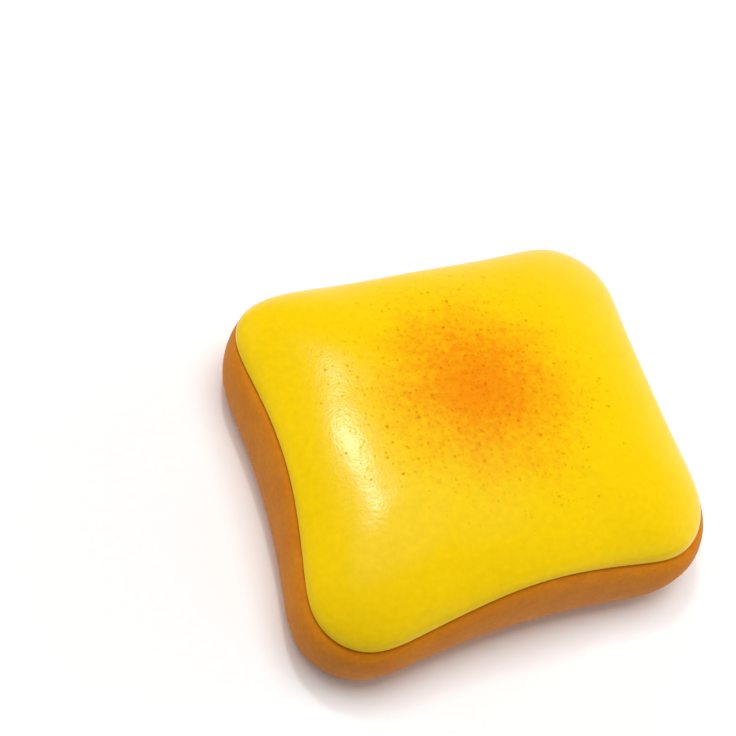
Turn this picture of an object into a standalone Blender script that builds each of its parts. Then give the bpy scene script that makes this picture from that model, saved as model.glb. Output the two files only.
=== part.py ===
"""A soft foam toy in the shape of a slice of buttered toast.

The toy lies flat, butter side up. Its outline is a rounded square with hollow sides. The brown toast
underneath has an upright, slightly bulging side, and the yellow butter is a thick domed layer that covers
the whole top and stands a little proud of the toast along the seam between the two colours.
The origin is at the centre of the underside. +X points to the right and +Y to the back.
"""

import math

import bmesh
import bpy
import numpy as np

MM = 0.001

# Each corner of the outline is an arc. In millimetres, anticlockwise: its centre (x, y), its radius, and the
# seam's height at its tip and inset there from the widest outline.
CORNERS = {
    "back_right": ((33.9, 30.1), 18.1, 17.4, 3.3),
    "back_left": ((-32.3, 26.2), 18.2, 17.0, 3.1),
    "front_left": ((-36.3, -32.5), 15.7, 15.7, 2.7),
    "front_right": ((33.5, -24.9), 18.5, 17.1, 3.6),
}
# Each hollow side is a long arc that meets the corner before it and the corner after it. In millimetres: its
# radius, and the seam's height and inset in its middle.
SIDES = {
    "back": (287.0, 20.9, 3.5),
    "left": (167.0, 20.6, 3.0),
    "front": (220.0, 21.8, 3.6),
    "right": (216.0, 20.8, 4.4),
}
# At the tip of the back left corner the butter has spread nearly to the edge of the toast. In millimetres: how
# far it has spread there, and how far along the seam this fades.
SPREAD = 2.1
SPREAD_LENGTH = 9.0
SOFTNESS = 3.5  # how far, in millimetres, the foam blurs one arc of the outline into the next
FINE_POINTS = 384  # points that the outline is worked out with
SECTORS = 96  # points that the solids keep of them

TOTAL_HEIGHT = 31.0
TOAST_BULGE_HEIGHT = 10.6  # where the toast's side is widest
TOAST_FOOT_INSET = 4.3  # how far the flat underside stays inside the widest outline
SEAM_GAP = 0.3  # the clear gap that keeps the two solids apart
BUTTER_LIP = 0.4  # how far the butter stands proud of the toast at the seam
LIP_RADIUS = 0.6
CROWN_SIDE_POWER = 2.6  # a higher power gives a flatter middle and a rounder shoulder
CROWN_TOP_POWER = 1.84  # a higher power gives a squarer shoulder

FOOT_RINGS = 4
WALL_RINGS = 8
SEAT_RINGS = 4
LIP_RINGS = 3
CROWN_RINGS = 16

TOAST_COLOUR = (0.50, 0.18, 0.022, 1.0)
BUTTER_COLOUR = (0.95, 0.66, 0.01, 1.0)


def arc(centre, radius, start, end, count):
    """Points on an arc, without its last one, from the angle start to the angle end."""
    angles = start + (end - start) * np.arange(count) / count
    return np.array(centre) + radius * np.column_stack([np.cos(angles), np.sin(angles)])


def angle_to(origin, point):
    return math.atan2(point[1] - origin[1], point[0] - origin[0])


def side_centre(a, radius_a, b, radius_b, side_radius):
    """The centre of the hollow side's arc, which touches the corner arcs round a and b from outside."""
    a, b = np.array(a), np.array(b)
    length = np.linalg.norm(b - a)
    along = (b - a) / length
    outward = np.array([along[1], -along[0]])
    reach_a, reach_b = radius_a + side_radius, radius_b + side_radius
    foot = (reach_a**2 - reach_b**2 + length**2) / (2 * length)
    return a + along * foot + outward * math.sqrt(reach_a**2 - foot**2)


def arcs_outline(points_each=30):
    """The outline as four corner arcs joined by four hollow side arcs, anticlockwise."""
    corners = [corner[:2] for corner in CORNERS.values()]
    radii = [side[0] for side in SIDES.values()]
    centres = [side_centre(*corners[i], *corners[(i + 1) % 4], radii[i]) for i in range(4)]
    pieces = []
    for i, (centre, radius) in enumerate(corners):
        start = angle_to(centre, centres[i - 1])
        end = angle_to(centre, centres[i])
        pieces.append(arc(centre, radius, start, start + (end - start) % (2 * math.pi), points_each))
        start = angle_to(centres[i], centre)
        end = angle_to(centres[i], corners[(i + 1) % 4][0])
        pieces.append(arc(centres[i], radii[i], start, start - (start - end) % (2 * math.pi), points_each))
    return np.vstack(pieces)


def evenly_spaced(points, count):
    """The same closed line with its points an equal distance apart."""
    closed = np.vstack([points, points[:1]])
    walked = np.concatenate([[0], np.cumsum(np.linalg.norm(np.diff(closed, axis=0), axis=1))])
    stops = walked[-1] * np.arange(count) / count
    return np.column_stack([np.interp(stops, walked, closed[:, k]) for k in (0, 1)])


def softened(points, reach):
    """The same closed line, each point averaged with its neighbours over about this distance."""
    spacing = np.linalg.norm(points[1] - points[0])
    for _ in range(round(2 * (reach / spacing) ** 2)):
        points = (np.roll(points, 1, axis=0) + 2 * points + np.roll(points, -1, axis=0)) / 4
    return points


def outline():
    """The widest outline of the toy, centred on the origin, and the direction outwards at each point."""
    points = softened(evenly_spaced(arcs_outline(), FINE_POINTS), SOFTNESS)
    points = points - (points.min(axis=0) + points.max(axis=0)) / 2
    tangent = np.roll(points, -1, axis=0) - np.roll(points, 1, axis=0)
    tangent /= np.linalg.norm(tangent, axis=1)[:, None]
    outward = np.column_stack([tangent[:, 1], -tangent[:, 0]])
    step = FINE_POINTS // SECTORS
    return points[::step], outward[::step]


def around(points, which):
    """A value for each point that eases from each corner's own to the middle of the next side's, and on."""
    values = []
    for corner, side in zip(CORNERS.values(), SIDES.values()):
        values += [corner[which], side[which]]
    values.append(values[0])
    tips = np.unwrap([angle_to((0, 0), corner[0]) for corner in CORNERS.values()])
    angles = np.arctan2(points[:, 1], points[:, 0])
    angles = np.where(angles < tips[0], angles + 2 * math.pi, angles)
    stop = 2 * np.interp(angles, [*tips, tips[0] + 2 * math.pi], range(5))
    before = np.minimum(stop.astype(int), 7)
    eased = (1 - np.cos(math.pi * (stop - before))) / 2
    values = np.array(values)
    return values[before] + (values[before + 1] - values[before]) * eased


def spread(points):
    """How far the butter has spread over the back left corner at each point."""
    centre = np.array(CORNERS["back_left"][0])
    tip = points[np.argmax(points @ centre)]
    distance = np.linalg.norm(points - tip, axis=1)
    return SPREAD * np.exp(-((distance / SPREAD_LENGTH) ** 2))


POINTS, OUTWARD = outline()
SEAM_HEIGHT = around(POINTS, -2)
SEAM_INSET = around(POINTS, -1) - spread(POINTS)


def ring(inset, height):
    """The outline moved inwards by inset, at height. Each may be one number or one for every point."""
    inset = np.broadcast_to(inset, len(POINTS))
    flat = POINTS - inset[:, None] * OUTWARD
    return np.column_stack([flat, np.broadcast_to(height, len(POINTS))])


def quarter_turns(count):
    """The sine and cosine at equal steps of a quarter turn, without its start."""
    for k in range(1, count + 1):
        turn = math.pi / 2 * k / count
        yield math.sin(turn), math.cos(turn)


def seat_rings(lift):
    """Where the butter lies on the toast, from the seam in towards the middle, raised by lift."""
    edge = ring(SEAM_INSET + LIP_RADIUS - BUTTER_LIP, SEAM_HEIGHT)
    level = SEAM_HEIGHT.mean()
    rings = []
    for k in range(SEAT_RINGS + 1):
        share = 1 - k / (SEAT_RINGS + 1)
        height = level + (edge[:, 2] - level) * share**2
        rings.append(np.column_stack([edge[:, :2] * share, height + lift]))
    return rings, (0, 0, level + lift)


def toast_rings():
    """The toast from its underside, up its bulging side and over the seat of the butter."""
    rings = [ring(TOAST_FOOT_INSET, 0)]
    for sine, cosine in quarter_turns(FOOT_RINGS):
        rings.append(ring(TOAST_FOOT_INSET * (1 - sine), TOAST_BULGE_HEIGHT * (1 - cosine)))
    for sine, cosine in quarter_turns(WALL_RINGS):
        height = TOAST_BULGE_HEIGHT + (SEAM_HEIGHT - TOAST_BULGE_HEIGHT) * sine
        rings.append(ring(SEAM_INSET * (1 - cosine), height))
    seat, middle = seat_rings(0)
    return rings + seat, middle


def butter_rings():
    """The butter from the middle of its seat, round its lip at the seam and up over its crown."""
    seat, seat_middle = seat_rings(SEAM_GAP)
    rings = seat[::-1]
    for sine, cosine in quarter_turns(LIP_RINGS):
        inset = SEAM_INSET - BUTTER_LIP + LIP_RADIUS * (1 - sine)
        rings.append(ring(inset, SEAM_HEIGHT + SEAM_GAP + LIP_RADIUS * (1 - cosine)))
    edge = rings[-1]
    for k in range(1, CROWN_RINGS):
        share = 1 - (k / CROWN_RINGS) ** 2
        climb = (1 - share**CROWN_SIDE_POWER) ** (1 / CROWN_TOP_POWER)
        height = edge[:, 2] + (TOTAL_HEIGHT - edge[:, 2]) * climb
        rings.append(np.column_stack([edge[:, :2] * share, height]))
    return rings, seat_middle, (0, 0, TOTAL_HEIGHT)


def closed_loop(mesh, points):
    """A loop of edges through these points."""
    corners = [mesh.verts.new(point * MM) for point in points]
    return [mesh.edges.new(ends) for ends in zip(corners, corners[1:] + corners[:1])]


def close_end(mesh, loop, middle):
    """Fills a loop with one flat face, or with a fan of faces round a middle point where it has one."""
    filled = bmesh.ops.contextual_create(mesh, geom=loop)["faces"]
    if middle is not None:
        poked = bmesh.ops.poke(mesh, faces=filled)
        poked["verts"][0].co = [value * MM for value in middle]


def skin(mesh, rings, first_middle=None, last_middle=None):
    """Faces from each ring to the next, closed at both ends."""
    loops = [closed_loop(mesh, points) for points in rings]
    for lower, upper in zip(loops, loops[1:]):
        bmesh.ops.bridge_loops(mesh, edges=lower + upper)
    close_end(mesh, loops[0], first_middle)
    close_end(mesh, loops[-1], last_middle)


def moulded_foam(name, colour, roughness):
    material = bpy.data.materials.new(name)
    material.use_nodes = True
    shader = material.node_tree.nodes["Principled BSDF"]
    shader.inputs["Base Color"].default_value = colour
    shader.inputs["Roughness"].default_value = roughness
    shader.inputs["Metallic"].default_value = 0.0
    return material


def solid(name, material, rings, first_middle=None, last_middle=None):
    """One named object, closed and shaded smooth, with its own material."""
    mesh = bmesh.new()
    skin(mesh, rings, first_middle, last_middle)
    bmesh.ops.recalc_face_normals(mesh, faces=mesh.faces)
    data = bpy.data.meshes.new(name)
    mesh.to_mesh(data)
    mesh.free()
    data.shade_smooth()
    data.set_sharp_from_angle(angle=math.radians(50))
    data.materials.append(material)
    made = bpy.data.objects.new(name, data)
    bpy.context.scene.collection.objects.link(made)
    return made


def main():
    for old in list(bpy.data.objects):
        bpy.data.objects.remove(old)
    rings, seat_middle = toast_rings()
    solid("toast_base", moulded_foam("toast_brown_foam", TOAST_COLOUR, 0.6), rings, None, seat_middle)
    rings, seat_middle, crown_middle = butter_rings()
    solid("butter_top", moulded_foam("butter_yellow_skin", BUTTER_COLOUR, 0.4), rings, seat_middle, crown_middle)


main()
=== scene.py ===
import math

import bpy
import numpy as np
from mathutils import Matrix, Vector


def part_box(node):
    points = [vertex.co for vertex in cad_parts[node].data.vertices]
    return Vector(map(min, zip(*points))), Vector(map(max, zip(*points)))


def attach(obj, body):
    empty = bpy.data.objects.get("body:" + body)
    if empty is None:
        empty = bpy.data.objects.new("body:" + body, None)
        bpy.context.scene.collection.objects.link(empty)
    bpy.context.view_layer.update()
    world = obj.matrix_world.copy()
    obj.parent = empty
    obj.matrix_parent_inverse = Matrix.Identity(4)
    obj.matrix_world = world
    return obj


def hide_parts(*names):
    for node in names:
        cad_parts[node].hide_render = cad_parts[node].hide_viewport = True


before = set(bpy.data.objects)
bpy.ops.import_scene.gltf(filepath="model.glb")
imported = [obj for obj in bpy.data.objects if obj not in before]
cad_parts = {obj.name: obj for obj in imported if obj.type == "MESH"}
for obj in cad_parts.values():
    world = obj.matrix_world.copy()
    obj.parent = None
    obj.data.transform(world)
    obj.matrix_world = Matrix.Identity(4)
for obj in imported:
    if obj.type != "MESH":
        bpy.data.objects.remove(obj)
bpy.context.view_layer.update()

# THE TOAST. The brown part of the toy is one moulding of slow-rising polyurethane foam with a skin as matt as
# suede. It runs under the whole toy, and its skin is sprayed brown up to the seam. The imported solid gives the
# form, and is made smooth here.
MM = 0.001
MERGE_DISTANCE = 0.01 * MM
STRAIGHT_DOWN = -0.999  # a face whose normal is lower than this is the underside
UNDERSIDE_BORDER = 1.5 * MM
UNDERSIDE_KEPT_FLAT = 2.0 * MM
SMOOTHING_LOSS = 0.09 * MM  # what the smoothing takes off the sides
FOAM_LUMP_SIZE = 5.0 * MM
FOAM_LUMP_DEPTH = 0.16 * MM
FOAM_PORE_SIZE = 1.3 * MM
FOAM_PORE_DEPTH = 0.05 * MM


def work_on(piece):
    """Makes this piece the only one that is selected."""
    bpy.ops.object.select_all(action="DESELECT")
    piece.select_set(True)
    bpy.context.view_layer.objects.active = piece


def copy_of_node(node, name, wanted):
    """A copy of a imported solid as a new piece, merged into one skin, with the wanted faces selected."""
    piece = bpy.data.objects.new(name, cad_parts[node].data.copy())
    bpy.context.scene.collection.objects.link(piece)
    work_on(piece)
    bpy.ops.mesh.customdata_custom_splitnormals_clear()
    bpy.ops.object.mode_set(mode="EDIT")
    bpy.ops.mesh.select_mode(type="FACE")
    bpy.ops.mesh.select_all(action="SELECT")
    bpy.ops.mesh.remove_doubles(threshold=MERGE_DISTANCE)
    bpy.ops.mesh.select_all(action="DESELECT")
    bpy.ops.object.mode_set(mode="OBJECT")
    for face in piece.data.polygons:
        face.select = wanted(face.normal)
    return piece


def apply_modifier(piece, kind, **settings):
    """Adds a modifier with these settings and applies it."""
    work_on(piece)
    modifier = piece.modifiers.new(kind.lower(), kind)
    for name, value in settings.items():
        setattr(modifier, name, value)
    bpy.ops.object.modifier_apply(modifier=modifier.name)


def make_uneven(piece, size, depth, group):
    """Raises and sinks the skin in soft lumps of this size, by half of this depth each way."""
    texture = bpy.data.textures.new(piece.name + "_lumps", "CLOUDS")
    texture.noise_scale = size
    apply_modifier(
        piece, "DISPLACE", texture=texture, strength=depth, mid_level=0.5, vertex_group=group,
        texture_coords="LOCAL", direction="NORMAL",
    )
    bpy.data.textures.remove(texture)


def places_of(piece):
    """The places of all the vertices of a piece, one row each."""
    flat = np.zeros(3 * len(piece.data.vertices))
    piece.data.vertices.foreach_get("co", flat)
    return flat.reshape(-1, 3)


def weigh(piece, group, weights):
    """A vertex group with one weight for each vertex."""
    made = piece.vertex_groups.new(name=group)
    for index, weight in enumerate(weights):
        made.add([index], float(weight), "REPLACE")


def eased(values, start, end):
    """0 before start, 1 after end, and a smooth rise between them."""
    share = np.clip((values - start) / (end - start), 0, 1)
    return share * share * (3 - 2 * share)


toast = copy_of_node("toast_base", "toast_foam", lambda normal: normal.z < STRAIGHT_DOWN)
bpy.ops.object.mode_set(mode="EDIT")
bpy.ops.mesh.dissolve_faces()
bpy.ops.mesh.inset(thickness=UNDERSIDE_BORDER)
bpy.ops.mesh.select_all(action="SELECT")
bpy.ops.mesh.tris_convert_to_quads()
bpy.ops.object.mode_set(mode="OBJECT")
apply_modifier(toast, "SUBSURF", levels=2, render_levels=2)
places = places_of(toast)
weigh(toast, "side", eased(places[:, 2], 0, UNDERSIDE_KEPT_FLAT))
apply_modifier(
    toast, "DISPLACE", strength=SMOOTHING_LOSS, mid_level=0.0, vertex_group="side", direction="NORMAL",
)
make_uneven(toast, FOAM_LUMP_SIZE, FOAM_LUMP_DEPTH, "side")
make_uneven(toast, FOAM_PORE_SIZE, FOAM_PORE_DEPTH, "side")
work_on(toast)
bpy.ops.object.shade_smooth()

SHARE, FIRST, SECOND, BLENDED = 0, 6, 7, 2  # the sockets of a colour mix, by number
NOISE_LOW, NOISE_HIGH = 0.3, 0.7  # nearly all values of a noise lie between these


def linear(hex_code):
    """An sRGB colour, such as "c8823c", as the linear values that a shader takes."""
    channels = [int(hex_code[i:i + 2], 16) / 255 for i in (0, 2, 4)]
    return [c / 12.92 if c <= 0.04045 else ((c + 0.055) / 1.055) ** 2.4 for c in channels] + [1.0]


def add_node(material, kind, feeds, **settings):
    """Adds a node. Settings are its own, and feeds gives each socket a value or another node's output.

    Sockets of one node that share a name go by their number.
    """
    made = material.node_tree.nodes.new("ShaderNode" + kind)
    for name, value in settings.items():
        setattr(made, name, value)
    for socket, value in feeds.items():
        if isinstance(value, bpy.types.NodeSocket):
            material.node_tree.links.new(value, made.inputs[socket])
        else:
            made.inputs[socket].default_value = value
    return made


# Polyurethane foam skin, sprayed: the spray is uneven, so the brown is mottled in soft patches, and the fine
# pores of the skin scatter the light, which makes it matt.
PATCH_SIZE = 7.0 * MM
GRAIN_SIZE = 1.1 * MM
GRAIN_DEPTH = 0.06 * MM
foam = bpy.data.materials.new("sprayed_foam_skin_brown")
foam.use_nodes = True
foam.node_tree.nodes.clear()
place = add_node(foam, "TexCoord", {}).outputs["Object"]
patches = add_node(foam, "TexNoise", {"Vector": place, "Scale": 1 / PATCH_SIZE, "Detail": 3.0})
grain = add_node(foam, "TexNoise", {"Vector": place, "Scale": 1 / GRAIN_SIZE, "Detail": 4.0})
spray = add_node(
    foam, "Mix", {SHARE: patches.outputs["Fac"], FIRST: linear("c56d04"), SECOND: linear("d7880c")},
    data_type="RGBA",
)
grain_shade = add_node(
    foam, "MapRange",
    {"Value": grain.outputs["Fac"], "From Min": NOISE_LOW, "From Max": NOISE_HIGH,
     "To Min": 0.92, "To Max": 1.06},
)
brown = add_node(
    foam, "VectorMath", {0: spray.outputs[BLENDED], "Scale": grain_shade.outputs["Result"]},
    operation="SCALE",
)
pores = add_node(foam, "Bump", {"Height": grain.outputs["Fac"], "Distance": GRAIN_DEPTH, "Strength": 0.6})
shader = add_node(
    foam, "BsdfPrincipled",
    {"Base Color": brown.outputs["Vector"], "Roughness": 0.7, "IOR": 1.4, "Normal": pores.outputs["Normal"]},
)
add_node(foam, "OutputMaterial", {"Surface": shader.outputs["BSDF"]})
toast.data.materials.clear()
toast.data.materials.append(foam)
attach(toast, "root")
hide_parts("toast_base")

# THE BUTTER. The yellow part is the same foam, cast as a thick dome over the whole toast, with a skin that is
# smooth and a little glossy. Its edge is a small round lip that stands proud along the seam. The skin shrank
# slightly as the foam cured, which leaves fine wrinkles on its slopes.
CELLS_ALONG_X = 264
CELLS_ALONG_Y = 244
CROWDING = 1.3  # above 1, the rows of the mesh crowd towards the steep rim
CROWN_SIDE_POWER = 2.6  # a higher power gives a flatter middle and a rounder shoulder
CROWN_TOP_POWER = 1.84  # a higher power gives a squarer shoulder
LIP_RADIUS = 0.6 * MM
LIP_ROWS = 4
SEAT_SHARES = (0.96, 0.85, 0.6, 0.3)  # the rows of the seat, as shares of the way from its middle to its edge
SMOOTH_ABOVE_SEAT = 2.5 * MM  # the lowest part of the crown is smooth up to here
UNEVEN_ABOVE_SEAT = 5.0 * MM  # and fully uneven from here up
SMOOTH_MIDDLE = 6.0 * MM
UNEVEN_FROM_MIDDLE = 14.0 * MM
SWELL_SIZE = 17.0 * MM
SWELL_DEPTH = 0.16 * MM
WRINKLE_SIZE = 1.9 * MM
WRINKLE_DEPTH = 0.02 * MM
RIPPLE_CENTRE = (-33.0 * MM, -20.5 * MM)
RIPPLE_HEADING = math.radians(-18)
RIPPLE_SPACING = 1.5 * MM
RIPPLE_BREAK = 5.5 * MM
RIPPLE_BEND_RADIUS = 12.0 * MM
RIPPLE_LENGTH = 6.5 * MM
RIPPLE_SPREAD = 4.5 * MM
RIPPLE_WANDER = 0.5 * MM
RIPPLE_DEPTH = 0.035 * MM

# The rim is the line where the butter is widest. All above it looks up, and the lip curls in below it.
tracer = copy_of_node("butter_top", "rim_tracer", lambda normal: normal.z > 0)
bpy.ops.object.mode_set(mode="EDIT")
bpy.ops.mesh.region_to_loop()
bpy.ops.mesh.select_all(action="INVERT")
bpy.ops.mesh.delete(type="EDGE")
bpy.ops.object.mode_set(mode="OBJECT")
apply_modifier(tracer, "SUBSURF", levels=3, render_levels=3)
rim = places_of(tracer)
rim = rim[np.argsort(np.arctan2(rim[:, 1], rim[:, 0]))]
bpy.data.objects.remove(tracer)

quarters = ((-1, -1), (1, -1), (1, 1), (-1, 1))
corners = [int(np.argmax(rim[:, 0] * towards_x + rim[:, 1] * towards_y)) for towards_x, towards_y in quarters]
corners.append(corners[0] + len(rim))
stops = np.arange(-len(rim), 2 * len(rim))
rim_normal = np.roll(rim[:, :2], -1, axis=0) - np.roll(rim[:, :2], 1, axis=0)
rim_normal = np.column_stack([rim_normal[:, 1], -rim_normal[:, 0]])
rim_normal /= np.linalg.norm(rim_normal, axis=1)[:, None]


def on_rim(values, stop):
    """What the rim has at this many points from its start, which may lie between two points."""
    thrice = np.vstack([values, values, values])
    return np.column_stack([np.interp(stop, stops, column) for column in thrice.T])


# The crown is a square grid, stretched until its four sides lie along the rim between the rim's corners, and
# raised from the rim to the top. Share is how far a point lies from the middle to the rim.
bpy.ops.object.select_all(action="DESELECT")
bpy.ops.mesh.primitive_grid_add(x_subdivisions=CELLS_ALONG_X, y_subdivisions=CELLS_ALONG_Y, size=2)
butter = bpy.context.object
butter.name = "butter_skin"
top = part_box("butter_top")[1].z
across, up = places_of(butter)[:, :2].T
share = np.maximum(np.abs(across), np.abs(up))
run = np.maximum(share, 1e-9)  # the middle has no side, and must not be divided by 0
side = np.select([up <= -share, across >= share, up >= share], [0, 1, 2], 3)
along = np.choose(side, [1 + across / run, 1 + up / run, 1 - across / run, 1 - up / run]) / 2
first, last = np.array(corners)[side], np.array(corners)[side + 1]
stop = first + (last - first) * along
edge = on_rim(rim, stop)
share = 1 - (1 - share) ** CROWDING
climb = (1 - share**CROWN_SIDE_POWER) ** (1 / CROWN_TOP_POWER)
crown = np.column_stack([edge[:, :2] * share[:, None], edge[:, 2] + (top - edge[:, 2]) * climb])
butter.data.vertices.foreach_set("co", crown.ravel())
rim_stop = butter.data.attributes.new("rim_stop", "FLOAT", "POINT")
rim_stop.data.foreach_set("value", stop)

# The edge is drawn down in rows, first round the lip and then in over the seat, which closes in the middle.
bpy.ops.object.mode_set(mode="EDIT")
bpy.ops.mesh.select_mode(type="EDGE")
bpy.ops.mesh.select_all(action="DESELECT")
bpy.ops.mesh.select_non_manifold(extend=False)
rows = [(turn / LIP_ROWS * math.pi / 2, 1.0) for turn in range(1, LIP_ROWS + 1)]
rows += [(math.pi / 2, share) for share in SEAT_SHARES]
seat_level = rim[:, 2].mean() - LIP_RADIUS
for turn, share in rows:
    bpy.ops.mesh.extrude_region_move()
    bpy.ops.object.mode_set(mode="OBJECT")
    places = places_of(butter)
    drawn = np.zeros(len(places), dtype=bool)
    butter.data.vertices.foreach_get("select", drawn)
    stop = np.zeros(len(places))
    butter.data.attributes["rim_stop"].data.foreach_get("value", stop)
    edge = on_rim(rim, stop[drawn])
    flat = edge[:, :2] - LIP_RADIUS * (1 - math.cos(turn)) * on_rim(rim_normal, stop[drawn])
    height = edge[:, 2] - LIP_RADIUS * math.sin(turn)
    places[drawn] = np.column_stack([flat * share, seat_level + (height - seat_level) * share**2])
    butter.data.vertices.foreach_set("co", places.ravel())
    bpy.ops.object.mode_set(mode="EDIT")
bpy.ops.mesh.edge_face_add()
bpy.ops.mesh.poke()
bpy.ops.object.mode_set(mode="OBJECT")
butter.data.attributes.remove(butter.data.attributes["rim_stop"])

# The crown is uneven but for its middle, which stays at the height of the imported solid.
places = places_of(butter)
above = eased(places[:, 2], seat_level + SMOOTH_ABOVE_SEAT, seat_level + UNEVEN_ABOVE_SEAT)
from_middle = eased(np.hypot(places[:, 0], places[:, 1]), SMOOTH_MIDDLE, UNEVEN_FROM_MIDDLE)
weigh(butter, "crown", above * from_middle)
make_uneven(butter, SWELL_SIZE, SWELL_DEPTH, "crown")
make_uneven(butter, WRINKLE_SIZE, WRINKLE_DEPTH, "crown")

# A few fine ripples lie one behind the other on the front left slope, each bent into a shallow arc.
places = places_of(butter)
offset = places[:, :2] - RIPPLE_CENTRE
along = offset[:, 0] * math.cos(RIPPLE_HEADING) + offset[:, 1] * math.sin(RIPPLE_HEADING)
across = offset[:, 1] * math.cos(RIPPLE_HEADING) - offset[:, 0] * math.sin(RIPPLE_HEADING)
wander = RIPPLE_WANDER * np.sin(along / RIPPLE_SPACING + across / RIPPLE_SPREAD)
bent = across + along**2 / (2 * RIPPLE_BEND_RADIUS) + wander
broken = (1 + np.cos(2 * math.pi * (along + across / 2) / RIPPLE_BREAK)) / 2
wave = np.cos(2 * math.pi * bent / RIPPLE_SPACING) * broken
fade = np.exp(-((along / RIPPLE_LENGTH) ** 2) - (across / RIPPLE_SPREAD) ** 2)
upper_side = places[:, 2] > seat_level + LIP_RADIUS
places[:, 2] += RIPPLE_DEPTH / 2 * wave * fade * upper_side
butter.data.vertices.foreach_set("co", places.ravel())
butter.data.update()
work_on(butter)
bpy.ops.object.shade_smooth()

# Polyurethane foam skin, cast and sprayed with a satin lacquer. The browned patch is airbrushed orange, and
# fine drops of matt brown are spattered round it. The lacquer gives broad soft highlights, broken by the
# leathery grain of the skin, and it lies a little thicker in the creases, which clouds the yellow.
BLUSH_CENTRE = (-1.0 * MM, 4.5 * MM, 0.0)
BLUSH_REACH = 35.0 * MM
DRIFT_SIZE = 9.0 * MM
DRIFT_REACH = 2.5 * MM  # how far the patch's edge strays in or out
MIST_SIZE = 1.3 * MM
MIST_NEAREST = 0.5 * MM  # a dot of the mist has the colour that the patch has this much further out, or more
MIST_FURTHEST = 9.0 * MM
SPATTER_CORE = 6.0 * MM  # the spatter is thickest up to here from the patch's centre
SPATTER_REACH = 42.0 * MM
LEATHER_SIZE = 0.7 * MM
CREASE_SIZE = 1.6 * MM
RELIEF_DEPTH = 0.018 * MM
YELLOW = "f4cb02"
lacquer = bpy.data.materials.new("satin_lacquered_foam_yellow")
lacquer.use_nodes = True
lacquer.node_tree.nodes.clear()
place = add_node(lacquer, "TexCoord", {}).outputs["Object"]
flat_place = add_node(lacquer, "VectorMath", {0: place, 1: (1.0, 1.0, 0.0)}, operation="MULTIPLY")
from_blush = add_node(
    lacquer, "VectorMath", {0: flat_place.outputs["Vector"], 1: BLUSH_CENTRE}, operation="DISTANCE",
)
drift = add_node(lacquer, "TexNoise", {"Vector": place, "Scale": 1 / DRIFT_SIZE, "Detail": 4.0})
wander = add_node(
    lacquer, "MapRange",
    {"Value": drift.outputs["Fac"], "From Min": NOISE_LOW, "From Max": NOISE_HIGH,
     "To Min": -DRIFT_REACH, "To Max": DRIFT_REACH},
)
blush_radius = add_node(
    lacquer, "Math", {0: from_blush.outputs["Value"], 1: wander.outputs["Result"]}, operation="ADD",
)
mist = add_node(lacquer, "TexNoise", {"Vector": place, "Scale": 1 / MIST_SIZE, "Detail": 3.0})
mist_shift = add_node(
    lacquer, "MapRange",
    {"Value": mist.outputs["Fac"], "From Min": NOISE_LOW, "From Max": NOISE_HIGH,
     "To Min": MIST_NEAREST, "To Max": MIST_FURTHEST},
)
misted_radius = add_node(
    lacquer, "Math", {0: blush_radius.outputs["Value"], 1: mist_shift.outputs["Result"]}, operation="ADD",
)
blush_share = add_node(
    lacquer, "MapRange",
    {"Value": misted_radius.outputs["Value"], "From Min": 0.0, "From Max": BLUSH_REACH},
)
blush = add_node(lacquer, "ValToRGB", {"Fac": blush_share.outputs["Result"]})
blush.color_ramp.elements[0].color = linear("e65a02")
blush.color_ramp.elements[1].color = linear(YELLOW)
for position, colour in ((0.15, "f08904"), (0.4, "f09605"), (0.6, "f3b006"), (0.84, "f5c504")):
    blush.color_ramp.elements.new(position).color = linear(colour)

# Spatter, as layers of drops. For each: the spacing of the places where a drop can be, the radii of the
# smallest and the largest drop, the share of places that hold one where the spatter is thickest, and how
# strong its strongest drop is.
SPATTER = (
    (1.1 * MM, 0.28 * MM, 0.48 * MM, 0.60, 0.55),
    (1.6 * MM, 0.40 * MM, 0.65 * MM, 0.24, 0.75),
    (2.3 * MM, 0.60 * MM, 1.00 * MM, 0.40, 0.30),
    (4.2 * MM, 0.50 * MM, 0.80 * MM, 0.18, 0.95),
)
WEAKEST_DROP = 0.4  # as a share of the strongest
MATT_FROM = 0.4  # a drop at least this strong is fully matt
thickness = add_node(
    lacquer, "MapRange",
    {"Value": blush_radius.outputs["Value"], "From Min": SPATTER_CORE, "From Max": SPATTER_REACH,
     "To Min": 1.0, "To Max": 0.0},
    interpolation_type="SMOOTHSTEP",
)
colour = blush.outputs["Color"]
matt = 0.0
for spacing, smallest, largest, most, strongest in SPATTER:
    cells = add_node(lacquer, "TexVoronoi", {"Vector": place, "Scale": 1 / spacing}, voronoi_dimensions="2D")
    lots = add_node(lacquer, "SeparateColor", {"Color": cells.outputs["Color"]})
    chance = add_node(lacquer, "Math", {0: thickness.outputs["Result"], 1: most}, operation="MULTIPLY")
    held = add_node(
        lacquer, "Math", {0: lots.outputs["Red"], 1: chance.outputs["Value"]}, operation="LESS_THAN",
    )
    strength = add_node(
        lacquer, "MapRange",
        {"Value": lots.outputs["Green"], "To Min": WEAKEST_DROP * strongest, "To Max": strongest},
    )
    radius = add_node(
        lacquer, "MapRange",
        {"Value": lots.outputs["Blue"], "To Min": smallest / spacing, "To Max": largest / spacing},
    )
    inside = add_node(
        lacquer, "MapRange",
        {"Value": cells.outputs["Distance"], "From Min": radius.outputs["Result"], "From Max": 0.0,
         "To Max": strength.outputs["Result"]},
        interpolation_type="SMOOTHSTEP",
    )
    drop = add_node(
        lacquer, "Math", {0: inside.outputs["Result"], 1: held.outputs["Value"]}, operation="MULTIPLY",
    )
    colour = add_node(
        lacquer, "Mix", {SHARE: drop.outputs["Value"], FIRST: colour, SECOND: linear("d4a530")},
        data_type="RGBA", blend_type="MULTIPLY",
    ).outputs[BLENDED]
    matt = add_node(
        lacquer, "Math", {0: matt, 1: drop.outputs["Value"]}, operation="MAXIMUM",
    ).outputs["Value"]
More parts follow.
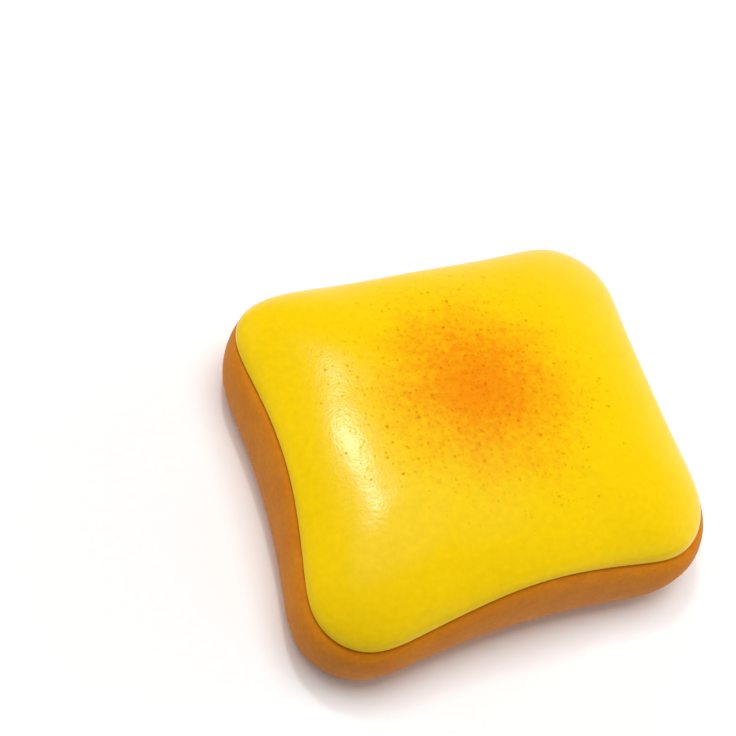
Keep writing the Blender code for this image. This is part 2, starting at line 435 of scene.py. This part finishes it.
leather = add_node(
    lacquer, "TexVoronoi", {"Vector": place, "Scale": 1 / LEATHER_SIZE, "Smoothness": 0.4},
    feature="SMOOTH_F1",
)
creases = add_node(lacquer, "TexNoise", {"Vector": place, "Scale": 1 / CREASE_SIZE, "Detail": 4.0})
relief = add_node(
    lacquer, "Math", {0: leather.outputs["Distance"], 1: creases.outputs["Fac"]}, operation="ADD",
)
stipple = add_node(
    lacquer, "Bump", {"Height": relief.outputs["Value"], "Distance": RELIEF_DEPTH, "Strength": 1.0},
)
coat = add_node(
    lacquer, "MapRange",
    {"Value": creases.outputs["Fac"], "From Min": NOISE_LOW, "From Max": NOISE_HIGH,
     "To Min": 0.96, "To Max": 1.04},
)
clouded = add_node(lacquer, "VectorMath", {0: colour, "Scale": coat.outputs["Result"]}, operation="SCALE")
gloss = add_node(
    lacquer, "MapRange", {"Value": matt, "From Max": MATT_FROM, "To Min": 0.5, "To Max": 0.05},
)
shader = add_node(
    lacquer, "BsdfPrincipled",
    {"Base Color": clouded.outputs["Vector"], "Roughness": 0.23, "IOR": 1.42,
     "Specular IOR Level": gloss.outputs["Result"], "Normal": stipple.outputs["Normal"]},
)
add_node(lacquer, "OutputMaterial", {"Surface": shader.outputs["BSDF"]})
butter.data.materials.append(lacquer)
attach(butter, "root")
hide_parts("butter_top")

# THE STUDIO. The toy lies on a white sheet of paper in a white room. The main light is a broad soft box
# overhead and a little behind it, so that the soft shadow falls towards the camera. A strip lamp draws the
# long highlight on the butter, and three low soft lamps light the sides of the toy.
PAPER_SIZE = 0.8
PAPER_LEVEL = -0.05 * MM  # just under the toy, so that no face of the two lies in the same place
bpy.ops.mesh.primitive_plane_add(size=PAPER_SIZE, location=(0, 0, PAPER_LEVEL))
paper = bpy.context.object
paper.name = "studio_paper"

# Uncoated paper: its fibres scatter the light evenly, so it shows as a soft matt white that takes the shadow.
FIBRE_SIZE = 2.0 * MM  # drawn coarser than real fibres, which are too fine to show
uncoated = bpy.data.materials.new("matt_white_paper")
uncoated.use_nodes = True
uncoated.node_tree.nodes.clear()
place = add_node(uncoated, "TexCoord", {}).outputs["Object"]
fibres = add_node(uncoated, "TexNoise", {"Vector": place, "Scale": 1 / FIBRE_SIZE, "Detail": 2.0})
tint = add_node(
    uncoated, "Mix", {SHARE: fibres.outputs["Fac"], FIRST: linear("fbfbfb"), SECOND: linear("ffffff")},
    data_type="RGBA",
)
shader = add_node(uncoated, "BsdfPrincipled", {"Base Color": tint.outputs[BLENDED], "Roughness": 0.9})
add_node(uncoated, "OutputMaterial", {"Surface": shader.outputs["BSDF"]})
paper.data.materials.append(uncoated)
paper.visible_glossy = False

WALL_LAMP_SIZE = (0.7, 0.4)


def soft_lamp(name, place, aim, size, power, mirrored):
    """A soft lamp of this width and height, at place, that shines on aim. It may be kept out of the gloss."""
    data = bpy.data.lights.new(name, "AREA")
    data.shape = "RECTANGLE"
    data.size, data.size_y = size
    data.energy = power
    lamp = bpy.data.objects.new(name, data)
    lamp.location = place
    lamp.rotation_euler = (Vector(place) - Vector(aim)).to_track_quat("Z", "Y").to_euler()
    lamp.visible_glossy = mirrored
    bpy.context.scene.collection.objects.link(lamp)


soft_lamp("ceiling_lamp", (0, 0.1, 1.0), (0, 0, 0), (0.9, 0.5), 7.1, mirrored=False)
soft_lamp("key_lamp", (-0.066, 0.228, 0.583), (-0.033, 0, 0.028), (0.035, 0.08), 0.68, mirrored=True)
soft_lamp("right_wall_lamp", (0.9, 0, 0.2), (0, 0, 0), WALL_LAMP_SIZE, 3.2, mirrored=False)
soft_lamp("left_wall_lamp", (-0.64, 0.64, 0.2), (0, 0, 0), WALL_LAMP_SIZE, 2.3, mirrored=False)
soft_lamp("front_wall_lamp", (0.64, -0.64, 0.2), (0, 0, 0), WALL_LAMP_SIZE, 1.8, mirrored=False)

# The gloss mirrors a dark room that is bright low down behind the toy on the right, and the camera sees white
# past the paper's edge.
GLOW_DIRECTION = (0.55, 0.46, -0.7)
ROOM_LIGHT = 0.19  # how brightly the room lights what is matt
OTHERWISE, IF_SO, NUMBER = 2, 3, 0  # the sockets of a number mix, whose share is 0 or 1 here
world = bpy.data.worlds.new("white_room")
world.use_nodes = True
world.node_tree.nodes.clear()
direction = add_node(world, "TexCoord", {}).outputs["Generated"]
glow = add_node(world, "VectorMath", {0: direction, 1: GLOW_DIRECTION}, operation="DOT_PRODUCT")
mirrored = add_node(
    world, "MapRange",
    {"Value": glow.outputs["Value"], "From Min": 0.1, "From Max": 0.9, "To Min": 0.02, "To Max": 1.0},
    interpolation_type="SMOOTHSTEP",
)
rays = add_node(world, "LightPath", {})
lit = add_node(
    world, "Mix", {SHARE: rays.outputs["Is Diffuse Ray"], OTHERWISE: 1.0, IF_SO: ROOM_LIGHT},
    data_type="FLOAT",
)
strength = add_node(
    world, "Mix",
    {SHARE: rays.outputs["Is Glossy Ray"], OTHERWISE: lit.outputs[NUMBER], IF_SO: mirrored.outputs["Result"]},
    data_type="FLOAT",
)
room = add_node(
    world, "Background", {"Color": (1.0, 1.0, 1.0, 1.0), "Strength": strength.outputs[NUMBER]},
)
add_node(world, "OutputWorld", {"Surface": room.outputs["Background"]})
world.cycles.sampling_method = "NONE"
bpy.context.scene.world = world
bpy.context.scene.view_settings.view_transform = "Standard"

# The camera looks down on the toy, turned a little on its own axis, as the photograph was taken.
CAMERA_AIM = (-17.92 * MM, 21.46 * MM, 15.0 * MM)
CAMERA_DISTANCE = 339.1 * MM
CAMERA_AZIMUTH = math.radians(40.11)
CAMERA_ELEVATION = math.radians(55.11)
CAMERA_ROLL = math.radians(26.17)
camera_data = bpy.data.cameras.new("camera")
camera_data.lens = 71.75
camera_data.sensor_width = 36.0
camera = bpy.data.objects.new("camera", camera_data)
turn = (
    Matrix.Rotation(-CAMERA_AZIMUTH, 4, "Z")
    @ Matrix.Rotation(math.pi / 2 - CAMERA_ELEVATION, 4, "X")
    @ Matrix.Rotation(CAMERA_ROLL, 4, "Z")
)
camera.matrix_world = Matrix.Translation(CAMERA_AIM) @ turn @ Matrix.Translation((0, 0, CAMERA_DISTANCE))
bpy.context.scene.collection.objects.link(camera)
bpy.context.scene.camera = camera
